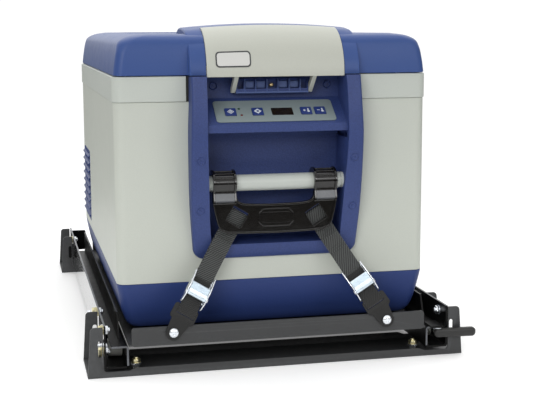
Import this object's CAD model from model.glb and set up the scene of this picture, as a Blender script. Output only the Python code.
"""Looks for a compressor cooler fridge strapped to its slide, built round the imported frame.

Metres, +Z up, the front faces -Y, as in the frame. A piece that stands for a CAD node keeps its
place, and its size to a few millimetres; what the CAD leaves out rides on the body that it is
fixed to.
"""
from math import asin, atan2, ceil, cos, degrees, pi, radians, sin, sqrt, tan

import bmesh
import bpy
from mathutils import Matrix, Vector


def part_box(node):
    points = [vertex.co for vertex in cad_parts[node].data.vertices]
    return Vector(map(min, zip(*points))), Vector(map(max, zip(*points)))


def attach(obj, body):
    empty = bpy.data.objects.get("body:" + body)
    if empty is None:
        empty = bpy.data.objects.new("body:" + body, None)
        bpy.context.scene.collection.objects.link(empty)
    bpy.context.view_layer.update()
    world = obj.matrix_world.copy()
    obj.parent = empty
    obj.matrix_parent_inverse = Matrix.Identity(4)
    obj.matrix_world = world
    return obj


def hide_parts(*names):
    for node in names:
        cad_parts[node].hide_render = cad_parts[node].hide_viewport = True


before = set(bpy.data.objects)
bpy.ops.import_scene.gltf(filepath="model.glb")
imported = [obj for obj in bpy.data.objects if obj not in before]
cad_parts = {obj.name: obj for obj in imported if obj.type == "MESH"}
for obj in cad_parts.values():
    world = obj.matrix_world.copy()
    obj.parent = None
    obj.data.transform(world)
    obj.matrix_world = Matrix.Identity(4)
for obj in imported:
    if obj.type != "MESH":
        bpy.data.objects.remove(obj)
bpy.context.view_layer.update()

BOX = {name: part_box(name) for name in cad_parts}
SIDES = {-1: "left", 1: "right"}
GAP = 0.0003                # between pieces that touch

# fridge envelope, from the frame where it has a box for it; the looks stand a little wider
BODY_HALF = BOX["outer_shell"][1].x + 0.0040
BODY_FRONT, BODY_BACK = BOX["outer_shell"][0].y, BOX["outer_shell"][1].y
SHELL_BOTTOM, SHELL_TOP = BOX["outer_shell"][0].z, BOX["outer_shell"][1].z
BODY_RADIUS = 0.016
WALL = 0.003
TRAY_TOP = 0.050
TUB_BOTTOM, TUB_TOP = BOX["base_tub"][0].z, BOX["base_tub"][1].z
TUB_TAPER, TUB_ROUNDING = 0.0150, 0.008
VENT_TOP, COLLAR_NOTCH = 0.2920, 0.1412
COLLAR_BOTTOM, COLLAR_TOP = BOX["collar"][0].z, 0.4618
SEAL_LAND = 0.4560
LID_BOTTOM, LID_SIDE_TOP = 0.4630, 0.5265
LID_CAVITY_TOP = 0.5135

# fascia
FASCIA_BOTTOM, FASCIA_TOP = BOX["fascia"][0].z, BOX["fascia"][1].z
FASCIA_BACK = -0.0053
BLOCK_HALF, BLOCK_BACK = 0.1175, BOX["fascia"][1].y
UPPER_POCKET_BACK, LOWER_POCKET_BACK = 0.0200, 0.0257
SHELF_FRONT, SHELF_UNDER, SLOPE_START = -0.0352, 0.3740, 0.3860
SLOPE = radians(35)
BAR_Y, BAR_Z, BAR_RADIUS, BAR_HALF = -0.0140, 0.2925, 0.0130, 0.1090
REAR_BAR_Y, REAR_BAR_RADIUS = 0.7235, 0.0100

# latch housing on the lid
HOUSING_HALF, HOUSING_REACH, HOUSING_RISE = 0.1375, 0.0684, 0.0765
HOUSING_CENTRE = -0.0225 + HOUSING_REACH
HOUSING_DROP = 0.0065
FLAP_TOP_ANGLE = 100
FLAP_HALF, FLAP_FACE = 0.1108, 0.0022
HINGE_Y, HINGE_Z, HINGE_LUG, HINGE_ROD = 0.7130, 0.4625, 0.0060, 0.0025

# slide
SHEET = 0.003
MEMBER_HALF, MEMBER_DEPTH, MEMBER_LIP = 0.307, 0.107, 0.013
TAB_HEIGHT, TAB_INNER = 0.080, 0.2825
RAIL_OUTER, RAIL_TOP, RAIL_INNER_FOOT = 0.2815, 0.082, 0.2465
INNER_RAIL, FLANGE_TOP, SIDE_PLATE_TOP = 0.2435, 0.049, 0.090
LIP_FRONT, LIP_TOP, TRAY_BACK = -0.0553, 0.0768, 0.745
ROLLER_PLACES = (0.010, 0.235)
ROLLER_Z, AXLE_RADIUS = 0.0313, 0.0040

# tie-down, in the slanted plane that holds each strap
BOLT_X, BOLT_Q, BOLT_Z = 0.1737, 0.0575, 0.0670
WINDOW_X, WINDOW_Z = 0.0648, 0.2428
BEND_T = 0.0255
STRAP_KNEE, STRAP_END = (0.1630, 0.0190), (0.2105, 0.0168)
STRAP_HALF, STRAP_LIFT, STRAP_THICK, STRAP_SHIFT = 0.0150, 0.0025, 0.0014, 0.0020
BUCKLE_PLACE = 0.051
SLOT_TOP, SLOT_HEIGHT, ANCHOR_TOP = 0.0090, 0.0038, 0.0455
YOKE_FRONT, YOKE_BACK = -0.0288, -0.0225


# ---------------------------------------------------------------- materials

def tone(red, green, blue):
    """The linear colour for a display colour given in steps of 0 to 255."""
    return tuple(((v / 255 + 0.055) / 1.055) ** 2.4 for v in (red, green, blue)) + (1.0,)


def shade(color, factor):
    return tuple(min(v * factor, 1.0) for v in color[:3]) + (1.0,)


class Look:
    """A Principled material, with short calls for the nodes that feed it."""

    def __init__(self, name, roughness=0.5, metallic=0.0, **sockets):
        self.material = bpy.data.materials.new(name)
        self.material.use_nodes = True
        self.tree = self.material.node_tree
        self.shader = self.tree.nodes["Principled BSDF"]
        self.shader.inputs["Roughness"].default_value = roughness
        self.shader.inputs["Metallic"].default_value = metallic
        for socket, value in sockets.items():
            self.shader.inputs[socket.replace("_", " ")].default_value = value
        self.coords = self.node("TexCoord").outputs["Object"]
        self.normal = None

    def node(self, kind, inputs=None, **settings):
        made = self.tree.nodes.new("ShaderNode" + kind)
        for key, value in settings.items():
            setattr(made, key, value)
        for key, value in (inputs or {}).items():
            if isinstance(value, bpy.types.NodeSocket):
                self.tree.links.new(value, made.inputs[key])
            else:
                made.inputs[key].default_value = value
        return made

    def stretched(self, scale):
        return self.node("Mapping", {"Vector": self.coords, "Scale": scale}).outputs["Vector"]

    def noise(self, scale, detail=2.0, vector=None):
        inputs = {"Vector": vector or self.coords, "Scale": scale, "Detail": detail}
        return self.node("TexNoise", inputs).outputs[0]

    def cells(self, scale):
        inputs = {"Vector": self.coords, "Scale": scale}
        return self.node("TexVoronoi", inputs).outputs["Distance"]

    def bands(self, scale, direction="X", profile="SIN", distortion=0.0, vector=None):
        inputs = {"Vector": vector or self.coords, "Scale": scale, "Distortion": distortion}
        return self.node("TexWave", inputs, bands_direction=direction,
                         wave_profile=profile).outputs["Fac"]

    def sums(self, operation, first, second):
        return self.node("Math", {0: first, 1: second}, operation=operation).outputs[0]

    def spread(self, value, low, high, start=0.0, end=1.0):
        inputs = {"Value": value, "From Min": start, "From Max": end, "To Min": low, "To Max": high}
        return self.node("MapRange", inputs).outputs["Result"]

    def blend(self, first, second, factor):
        made = self.node("Mix", {0: factor}, data_type="RGBA")
        for socket, value in ((made.inputs[6], first), (made.inputs[7], second)):
            if isinstance(value, bpy.types.NodeSocket):
                self.tree.links.new(value, socket)
            else:
                socket.default_value = value
        return made.outputs[2]

    def color(self, value):
        self.tree.links.new(value, self.shader.inputs["Base Color"])

    def roughness(self, value):
        self.tree.links.new(value, self.shader.inputs["Roughness"])

    def bump(self, height, strength, distance):
        inputs = {"Height": height, "Strength": strength, "Distance": distance}
        if self.normal is not None:
            inputs["Normal"] = self.normal
        self.normal = self.node("Bump", inputs).outputs["Normal"]
        self.tree.links.new(self.normal, self.shader.inputs["Normal"])

    def worn_edges(self, color, bright, amount):
        """Lighten the places where the surface turns sharply outward."""
        point = self.node("NewGeometry").outputs["Pointiness"]
        edge = self.spread(point, 0.0, amount, 0.52, 0.62)
        patchy = self.sums("MULTIPLY", edge, self.noise(160, 3))
        return self.blend(color, bright, patchy)


def moulded(name, display_color, roughness, mottle, grain, depth, specular):
    """Moulded plastic: spark-eroded grain, faint cloudiness and uneven gloss."""
    look = Look(name, roughness, Specular_IOR_Level=specular)
    color = tone(*display_color)
    fine, cloud = look.noise(grain, 2), look.noise(9, 3)
    speck = look.sums("ADD", look.sums("MULTIPLY", fine, 0.7), look.sums("MULTIPLY", cloud, 0.3))
    look.color(look.blend(shade(color, 1 - 2 * mottle), shade(color, 1 + 2 * mottle), speck))
    look.roughness(look.spread(look.noise(45, 3), roughness - 0.05, roughness + 0.07))
    look.bump(fine, depth, 0.0004)
    look.bump(look.cells(grain * 0.55), depth * 0.6, 0.0003)
    return look.material


def pebbled(name, color, roughness):
    """Coarsely textured moulding, with glints on its raised grains."""
    look = Look(name, roughness, Specular_IOR_Level=0.35)
    grains, fine = look.cells(420), look.noise(620, 3)
    speck = look.sums("MULTIPLY", look.spread(grains, 1.0, 0.0, 0.1, 0.75), fine)
    look.color(look.blend(shade(color, 0.90), shade(color, 1.30), speck))
    look.roughness(look.spread(look.noise(60, 2), roughness - 0.07, roughness + 0.07))
    look.bump(grains, 0.35, 0.0004)
    look.bump(fine, 0.20, 0.0004)
    return look.material


def powder_coat(name, color, roughness=0.48, scale=420):
    """Baked powder paint: orange peel and a fine lighter fleck."""
    look = Look(name, roughness)
    peel, fleck = look.noise(scale, 2), look.cells(950)
    flecks = look.spread(fleck, 1.0, 0.0, 0.0, 0.22)
    base = look.blend(shade(color, 0.88), shade(color, 1.12), look.noise(25, 4))
    base = look.blend(base, shade(color, 1.7), look.sums("MULTIPLY", flecks, 0.45))
    look.color(look.worn_edges(base, shade(color, 2.4), 0.7))
    look.roughness(look.spread(peel, roughness - 0.08, roughness + 0.08))
    look.bump(peel, 0.30, 0.0005)
    return look.material


def gloss_paint(name, color, roughness, ripple, specular, coat):
    """Glossy black: a clear coat over a slightly rippled ground with faint dust."""
    look = Look(name, roughness, Specular_IOR_Level=specular, Coat_Weight=coat, Coat_Roughness=0.05)
    dust = look.spread(look.noise(300, 4), 0.0, 0.25, 0.55, 0.8)
    look.color(look.blend(color, shade(color, 2.4), dust))
    look.roughness(look.spread(look.noise(35, 3), roughness - 0.05, roughness + 0.09))
    look.bump(look.noise(ripple, 2), 0.10, 0.0008)
    return look.material


def plated(name, color, roughness=0.26):
    """Plated steel: cloudy roughness, faint rolling streaks and small pits."""
    look = Look(name, roughness, 1.0)
    cloud = look.noise(90, 4)
    line = look.noise(240, 2, look.stretched((1.0, 6.0, 6.0)))
    look.color(look.blend(shade(color, 0.90), shade(color, 1.08), cloud))
    look.roughness(look.spread(look.sums("ADD", cloud, line), roughness - 0.05,
                               roughness + 0.07, 0.6, 1.4))
    look.bump(line, 0.12, 0.0002)
    look.bump(look.cells(500), 0.10, 0.0002)
    return look.material


def woven_strap(name, valley, crest):
    """Black twill webbing: raised diagonal ribs, yarns across them, paler fuzz on top."""
    look = Look(name, 0.72, Sheen_Weight=0.35, Sheen_Roughness=0.45)
    place = look.node("UVMap", uv_map="weave").outputs["UV"]
    diagonal = look.node("Mapping", {"Vector": place, "Rotation": (0, 0, radians(38))})
    rib = look.bands(104.0, "X", vector=diagonal.outputs["Vector"])
    yarn = look.bands(260.0, "Y", vector=place)
    thread = look.sums("ADD", rib, look.sums("MULTIPLY", yarn, 0.18))
    fuzz = look.noise(900, 3)
    top = look.spread(thread, 0.0, 1.0, 0.35, 1.05)
    base = look.blend(valley, crest, top)
    look.color(look.blend(base, shade(crest, 1.2), look.spread(fuzz, 0.0, 0.4, 0.5, 0.8)))
    look.roughness(look.spread(fuzz, 0.62, 0.85))
    look.bump(thread, 0.75, 0.0006)
    look.bump(fuzz, 0.35, 0.0003)
    return look.material


def rubber():
    look = Look("rubber_black", 0.78)
    fine = look.noise(800, 3)
    look.color(look.blend(tone(24, 24, 23), tone(44, 44, 42), look.noise(30, 4)))
    look.roughness(look.spread(fine, 0.68, 0.9))
    look.bump(fine, 0.3, 0.0004)
    return look.material


def foam():
    """Poured foam: open cells in a warm yellow."""
    look = Look("foam_yellow", 0.9)
    cells = look.cells(420)
    look.color(look.blend(tone(176, 148, 84), tone(228, 206, 146), look.spread(cells, 0, 1, 0, 0.6)))
    look.bump(cells, 0.8, 0.0015)
    look.bump(look.noise(90, 4), 0.5, 0.002)
    return look.material


def brushed_aluminium():
    """Rolled aluminium with long fine brush lines."""
    color = (0.80, 0.81, 0.82, 1.0)
    look = Look("aluminium", 0.34, 1.0)
    line = look.noise(160, 3, look.stretched((1.0, 1.0, 22.0)))
    look.color(look.blend(shade(color, 0.85), shade(color, 1.08), line))
    look.roughness(look.spread(line, 0.26, 0.46))
    look.bump(line, 0.15, 0.0002)
    return look.material


def finned_copper():
    """Condenser block: thin upright fins over copper tube."""
    look = Look("copper_fins", 0.38, 1.0)
    fins = look.bands(95.0, "X", "SAW")
    rows = look.bands(16.0, "Z")
    look.color(look.blend(tone(150, 92, 66), tone(222, 150, 116), fins))
    look.roughness(look.spread(rows, 0.3, 0.5))
    look.bump(fins, 0.9, 0.0012)
    look.bump(rows, 0.5, 0.002)
    return look.material


def circuit_board():
    """Green board: etched tracks and pale solder points."""
    look = Look("circuit_board_green", 0.45)
    tracks = look.bands(38.0, "DIAGONAL", "TRI", 3.0)
    pads = look.spread(look.cells(120), 1.0, 0.0, 0.10, 0.16)
    base = look.blend(tone(16, 78, 40), tone(34, 112, 62), look.spread(tracks, 0, 1, 0.42, 0.55))
    look.color(look.blend(base, tone(196, 198, 190), pads))
    look.bump(look.sums("ADD", tracks, pads), 0.3, 0.0004)
    return look.material


def display_glass():
    """Dark smoked window with a faint coat and slight cloudiness."""
    look = Look("display_smoked", 0.22, Specular_IOR_Level=0.3, Coat_Weight=0.15)
    cloud = look.noise(60, 3)
    look.color(look.blend(tone(14, 11, 9), tone(30, 21, 17), cloud))
    look.roughness(look.spread(look.noise(500, 2), 0.18, 0.28))
    look.bump(look.noise(240, 2), 0.05, 0.0002)
    return look.material


def lens_look(name, color):
    """A small unlit indicator lens, darker towards its rim."""
    look = Look(name, 0.18, Coat_Weight=0.6, Coat_Roughness=0.05)
    look.color(look.blend(shade(color, 0.6), shade(color, 1.3), look.noise(700, 2)))
    look.roughness(look.spread(look.noise(300, 2), 0.14, 0.24))
    look.bump(look.cells(900), 0.2, 0.0002)
    return look.material


# display colour, roughness, mottle, grain, grain depth, specular level
MOULDED = {
    "lid_blue": ((60, 83, 138), 0.36, 0.05, 700, 0.16, 0.2),
    "grip_blue": ((70, 90, 142), 0.40, 0.06, 700, 0.16, 0.5),
    "tub_blue": ((44, 62, 116), 0.44, 0.06, 560, 0.22, 0.25),
    "shell_grey": ((193, 197, 188), 0.46, 0.03, 640, 0.22, 0.3),
    "collar_grey": ((191, 196, 189), 0.46, 0.03, 640, 0.22, 0.3),
    "flap_grey": ((186, 188, 178), 0.40, 0.03, 560, 0.18, 0.35),
    "bar_grey": ((186, 191, 185), 0.36, 0.03, 600, 0.12, 0.5),
    "panel_grey": ((128, 140, 141), 0.40, 0.05, 900, 0.12, 0.5),
    "button_blue": ((34, 54, 118), 0.38, 0.08, 900, 0.15, 0.5),
    "icon_white": ((206, 212, 218), 0.50, 0.03, 900, 0.05, 0.5),
    "badge_pale": ((206, 206, 202), 0.34, 0.02, 900, 0.08, 0.5),
    "badge_rim": ((58, 60, 62), 0.40, 0.06, 900, 0.10, 0.5),
    "black_plastic": ((26, 26, 25), 0.42, 0.10, 700, 0.30, 0.5),
    "stitch_thread": ((50, 52, 52), 0.75, 0.12, 1200, 0.40, 0.5),
    "liner_white": ((222, 224, 222), 0.30, 0.02, 500, 0.06, 0.5),
    "roller_white": ((200, 200, 194), 0.42, 0.05, 700, 0.15, 0.5),
}
MATERIALS = {name: moulded(name, *settings) for name, settings in MOULDED.items()}
MATERIALS.update({
    "fascia_blue": pebbled("fascia_blue", tone(50, 66, 118), 0.50),
    "slide_grey": powder_coat("slide_grey", tone(47, 48, 49)),
    "cut_edge": powder_coat("cut_edge", tone(74, 76, 80), 0.36, 300),
    "anchor_black": powder_coat("anchor_black", tone(7, 7, 6), 0.62, 520),
    "slide_black": gloss_paint("slide_black", tone(12, 12, 12), 0.34, 70, 0.12, 0.0),
    "slide_gloss": gloss_paint("slide_gloss", tone(14, 14, 14), 0.07, 12, 0.5, 0.5),
    "gloss_black": gloss_paint("gloss_black", tone(15, 13, 11), 0.16, 120, 0.35, 0.45),
    "pad_grey": gloss_paint("pad_grey", tone(66, 69, 74), 0.30, 60, 0.4, 0.2),
    "black_rubber": rubber(),
    "webbing": woven_strap("webbing_black", tone(7, 8, 8), tone(80, 83, 82)),
    "webbing_plain": woven_strap("webbing_plain", tone(8, 8, 8), tone(26, 27, 26)),
    "zinc": plated("zinc_bright", (0.80, 0.83, 0.87, 1.0)),
    "cam_zinc": plated("cam_zinc", (0.72, 0.82, 0.90, 1.0), 0.30),
    "gold_zinc": plated("zinc_yellow", (0.72, 0.66, 0.42, 1.0), 0.32),
    "brass": plated("brass", (0.62, 0.48, 0.26, 1.0), 0.3),
    "copper": finned_copper(),
    "aluminium": brushed_aluminium(),
    "foam": foam(),
    "display": display_glass(),
    "circuit_board": circuit_board(),
    "green_light": lens_look("green_light", tone(18, 70, 36)),
    "red_light": lens_look("red_light", tone(96, 20, 18)),
})


# ---------------------------------------------------------------- shape tools

def add_object(bm, look=None):
    """Turn a bmesh into an object; one that only cuts another needs no material."""
    bmesh.ops.recalc_face_normals(bm, faces=bm.faces)
    mesh = bpy.data.meshes.new("shape")
    bm.to_mesh(mesh)
    bm.free()
    item = bpy.data.objects.new("shape", mesh)
    bpy.context.scene.collection.objects.link(item)
    if look:
        mesh.materials.append(MATERIALS[look])
    return item


def loft(rings, look=None, closed=False):
    """Skin rings of equal length; a closed loft joins the last ring to the first."""
    bm = bmesh.new()
    levels = [[bm.verts.new(point) for point in ring] for ring in rings]
    count = len(rings[0])
    pairs = list(zip(levels, levels[1:]))
    if closed:
        pairs.append((levels[-1], levels[0]))
    else:
        bm.faces.new(levels[0])
        bm.faces.new(levels[-1])
    for lower, upper in pairs:
        for i in range(count):
            j = (i + 1) % count
            bm.faces.new((lower[i], lower[j], upper[j], upper[i]))
    return add_object(bm, look)


def prism(outline, axis, start, end, look=None):
    """Extrude a 2D outline along a world axis; the outline holds the other two axes."""
    def place(point, along):
        a, b = point
        return {"x": (along, a, b), "y": (a, along, b), "z": (a, b, along)}[axis]
    return loft([[place(p, along) for p in outline] for along in (start, end)], look)


def frame_prism(outline, place, start, end, look=None):
    """Extrude an outline in the first two axes of a frame along its third axis."""
    rings = [[place @ Vector((a, b, along)) for a, b in outline] for along in (start, end)]
    return loft(rings, look)


def block(low, high, look=None, width=0.0):
    outline = [(low[0], low[1]), (high[0], low[1]), (high[0], high[1]), (low[0], high[1])]
    item = prism(outline, "z", low[2], high[2], look)
    return bevel(item, width) if width else item


def turned(profile, start, direction, look=None, sides=32):
    """Turn (radius, distance) pairs about the line from start along direction."""
    direction = Vector(direction).normalized()
    across = direction.orthogonal().normalized()
    other = direction.cross(across)
    start = Vector(start)
    rings = []
    for radius, distance in profile:
        rings.append([start + direction * distance
                      + (across * cos(a) + other * sin(a)) * radius
                      for a in (2 * pi * i / sides for i in range(sides))])
    return loft(rings, look)


def rod(radius, length, start, direction, look=None, sides=32):
    return turned([(radius, 0), (radius, length)], start, direction, look, sides)


def settle(item):
    """Apply the object's modifiers for good."""
    depsgraph = bpy.context.evaluated_depsgraph_get()
    mesh = bpy.data.meshes.new_from_object(item.evaluated_get(depsgraph))
    item.modifiers.clear()
    item.data = mesh
    return item


def bevel(item, width, segments=3, angle=34):
    made = item.modifiers.new("bevel", "BEVEL")
    made.width = width
    made.segments = segments
    made.limit_method = "ANGLE"
    made.angle_limit = radians(angle)
    return settle(item)


def combine(item, tools, operation):
    for tool in tools:
        made = item.modifiers.new("boolean", "BOOLEAN")
        made.operation = operation
        made.object = tool
        made.solver = "EXACT"
    settle(item)
    for tool in tools:
        bpy.data.objects.remove(tool)
    return item


def cut(item, *tools):
    return combine(item, tools, "DIFFERENCE")


def unite(item, *tools):
    return combine(item, tools, "UNION")


def join(items):
    """Gather several closed shapes, each with its own material, into one object."""
    bm = bmesh.new()
    looks = []
    for item in items:
        own = list(item.data.materials)
        looks += [look for look in own if look not in looks]
        start = len(bm.faces)
        bm.from_mesh(item.data)
        bm.faces.ensure_lookup_table()
        for face in bm.faces[start:]:
            face.material_index = looks.index(own[face.material_index])
        bpy.data.objects.remove(item)
    mesh = bpy.data.meshes.new("shape")
    bm.to_mesh(mesh)
    bm.free()
    for look in looks:
        mesh.materials.append(look)
    whole = bpy.data.objects.new("shape", mesh)
    bpy.context.scene.collection.objects.link(whole)
    return whole


def tint_faces(item, look, direction, limit=0.9, above=-1.0, below=1.0):
    """Give the faces that look along a direction, between two heights, their own material."""
    item.data.materials.append(MATERIALS[look])
    index = len(item.data.materials) - 1
    for face in item.data.polygons:
        if face.normal.dot(Vector(direction)) > limit and above < face.center.z < below:
            face.material_index = index


def finish_piece(name, shapes, body, replaces=(), angle=38):
    """Join, name and smooth a piece, then say what it rides on and stands for."""
    item = join(shapes) if isinstance(shapes, list) else shapes
    item.name = name
    item.data.name = name
    item.data.shade_smooth()
    item.data.set_sharp_from_angle(angle=radians(angle))
    normals = item.modifiers.new("normals", "WEIGHTED_NORMAL")
    normals.keep_sharp = True
    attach(item, body)
    if replaces:
        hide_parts(*replaces)


def arc(centre, radius, start, end, steps):
    """Points on an arc, angles in degrees, both ends included."""
    angles = (radians(start + (end - start) * i / steps) for i in range(steps + 1))
    return [(centre[0] + radius * cos(a), centre[1] + radius * sin(a)) for a in angles]


def rounded(points, radius, steps=4):
    """Round every corner of an outline with an arc that touches both of its sides."""
    result = []
    count = len(points)
    for i, point in enumerate(points):
        here = Vector(point)
        back, ahead = Vector(points[i - 1]) - here, Vector(points[(i + 1) % count]) - here
        half = back.angle(ahead) / 2
        if half > radians(84):
            result.append(tuple(here))
            continue
        reach = min(radius / tan(half), back.length * 0.48, ahead.length * 0.48)
        first, last = here + back.normalized() * reach, here + ahead.normalized() * reach
        middle = (back.normalized() + ahead.normalized()).normalized()
        centre = here + middle * (reach / cos(half))
        one, two = first - centre, last - centre
        sweep = one.angle_signed(two)
        for step in range(steps + 1):
            spin = Matrix.Rotation(-sweep * step / steps, 2)
            result.append(tuple(centre + spin @ one))
    return result


def rectangle(low, high, radius, steps=5):
    (x0, y0), (x1, y1) = low, high
    return rounded([(x1, y1), (x0, y1), (x0, y0), (x1, y0)], radius, steps)


def inset(points, distance):
    """Move an outline's sides inwards, keeping its points one to one."""
    count = len(points)
    area = sum(points[i - 1][0] * points[i][1] - points[i][0] * points[i - 1][1] for i in range(count))
    way = 1 if area > 0 else -1
    result = []
    for i, point in enumerate(points):
        here = Vector(point)
        one = (here - Vector(points[i - 1])).normalized()
        two = (Vector(points[(i + 1) % count]) - here).normalized()
        normal = Vector((-one.y - two.y, one.x + two.x)).normalized() * way
        stretch = max(abs(normal.dot(Vector((-one.y, one.x)))), 0.35)
        result.append(tuple(here + normal * distance / stretch))
    return result


def body_ring(half, front, back, radius, height, steps=9):
    outline = rectangle((-half, front), (half, back), radius, steps)
    return [(x, y, height) for x, y in outline]


def mirror_x(outline, side):
    return [(side * x, z) for x, z in outline]


def mirrored(points):
    """The same outline on the other side of the middle, walked back."""
    return [(-a, b) for a, b in reversed(points)]


def span(side, start, end):
    """Both ends of a stretch on one side, in rising order."""
    return sorted((side * start, side * end))


def eased_wall(half, front, back, radius, low, high, edge, steps=12):
    """Rings up an upright wall whose lower and upper edges are eased."""
    levels = ((edge, low), (edge * 0.3, low + edge * 0.3), (0, low + edge), (0, high - edge),
              (edge * 0.3, high - edge * 0.3), (edge, high))
    return [body_ring(half - drawn, front + drawn, back - drawn, radius - drawn, z, steps)
            for drawn, z in levels]


def eased_rows(half, radius, steps, count):
    """Places across the front, with how far each is drawn in so that the ends round over."""
    ends = [(half - radius + radius * sin(a), radius * (1 - cos(a)))
            for a in (radians(90 * i / steps) for i in range(steps + 1))]
    inner = [(-(half - radius) * (1 - i / count), 0.0) for i in range(1, 2 * count)]
    return mirrored(ends) + inner + ends


def curve_through(table, value):
    """Smooth lookup in a short list of (value, result) pairs."""
    if value <= table[0][0]:
        return table[0][1]
    if value >= table[-1][0]:
        return table[-1][1]
    k = next(i for i in range(len(table) - 1) if value <= table[i + 1][0])
    (v0, r0), (v1, r1) = table[k], table[k + 1]
    before = table[max(k - 1, 0)]
    after = table[min(k + 2, len(table) - 1)]
    slope0 = (r1 - before[1]) / (v1 - before[0])
    slope1 = (after[1] - r0) / (after[0] - v0)
    t, gap = (value - v0) / (v1 - v0), v1 - v0
    return ((2 * t ** 3 - 3 * t ** 2 + 1) * r0 + (t ** 3 - 2 * t ** 2 + t) * gap * slope0
            + (3 * t ** 2 - 2 * t ** 3) * r1 + (t ** 3 - t ** 2) * gap * slope1)


# ---------------------------------------------------------------- fasteners

def hex_outline(half):
    return [(half / cos(pi / 6) * cos(a), half / cos(pi / 6) * sin(a))
            for a in (pi / 6 + pi / 3 * i for i in range(6))]


def facing(point, direction, turn=0.0):
    """A frame at the point whose third axis looks along the direction."""
    return (Matrix.Translation(point) @ Vector(direction).to_track_quat("Z", "Y").to_matrix()
            .to_4x4() @ Matrix.Rotation(turn, 4, "Z"))


def hex_bolt(point, direction, look="gold_zinc", across=0.013, turn=0.2):
    """Hexagon head with its washer, sitting on the surface at the point."""
    place = facing(point, direction, turn)
    washer = frame_prism(arc((0, 0), across * 0.62, 0, 345, 23), place, 0, 0.0014, look)
    head = frame_prism(hex_outline(across / 2), place, 0.0014, 0.0064, look)
    return [bevel(washer, 0.0004, 2), bevel(head, 0.0008, 2)]


def hex_nut(point, direction, look="zinc", across=0.013, turn=0.35):
    """Nut on a washer, with the rounded end of its bolt standing out of it."""
    place = facing(point, direction, turn)
    shapes = hex_bolt(point, direction, look, across, turn)
    stud = frame_prism(arc((0, 0), across * 0.29, 0, 340, 17), place, 0.005, 0.0092, look)
    return shapes + [bevel(stud, 0.0008, 2)]


def button_head(point, direction, look="zinc", radius=0.008, height=0.0046):
    """Domed socket screw: a low dome with a hexagonal recess."""
    profile = [(radius, 0), (radius, 0.0006)]
    profile += [(radius * cos(a), 0.0006 + (height - 0.0006) * sin(a))
                for a in (radians(15 * i) for i in range(1, 6))]
    dome = turned(profile, point, direction, look, 32)
    tool = frame_prism(hex_outline(radius * 0.32), facing(point, direction),
                       height * 0.45, height + 0.01, look)
    return cut(dome, tool)


# ---------------------------------------------------------------- slide

def cross_member(node, start_y):
    """Folded channel on the floor, with a slotted tab at each end of both walls."""
    base = block((-MEMBER_HALF, start_y, 0), (MEMBER_HALF, start_y + MEMBER_DEPTH, SHEET), "slide_grey")
    top = MEMBER_HALF - 0.005
    low_lip, step_in, step_out = MEMBER_LIP - 0.004, 0.232, 0.243
    slot_x, slot_half, slot_low, slot_high = 0.2875, 0.0035, 0.0320, 0.0590
    corner = arc((top - 0.006, TAB_HEIGHT - 0.006), 0.006, 5, 90, 5)
    fold = arc((TAB_INNER - 0.005, low_lip + 0.005), 0.005, 0, -90, 5)
    half = [(0, 0), (MEMBER_HALF, 0)] + corner + [(TAB_INNER, TAB_HEIGHT)] + fold
    half += [(step_out, low_lip), (step_in, MEMBER_LIP)]
    outline = half + mirrored(half[1:])
    walls = []
    for y in (start_y, start_y + MEMBER_DEPTH - SHEET):
        wall = prism(outline, "y", y, y + SHEET, "slide_grey")
        slots = []
        for side in SIDES:
            slot = rectangle((side * slot_x - slot_half, slot_low),
                             (side * slot_x + slot_half, slot_high), 0.0034)
            slots.append(prism(slot, "y", y - 0.01, y + 0.01))
        walls.append(cut(wall, *slots))
    shapes = [bevel(unite(base, *walls), 0.0008)]
    if node == "rear_crossmember":
        for side in SIDES:
            low = (side * slot_x - 0.0045, start_y + SHEET, slot_low - 0.0040)
            high = (side * slot_x + 0.0100, start_y + SHEET + 0.0025, slot_high + 0.0050)
            shapes.append(block(low, high, "slide_black", 0.0006))
    finish_piece(node + "_folded", shapes, "slide_base", [node])


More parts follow.
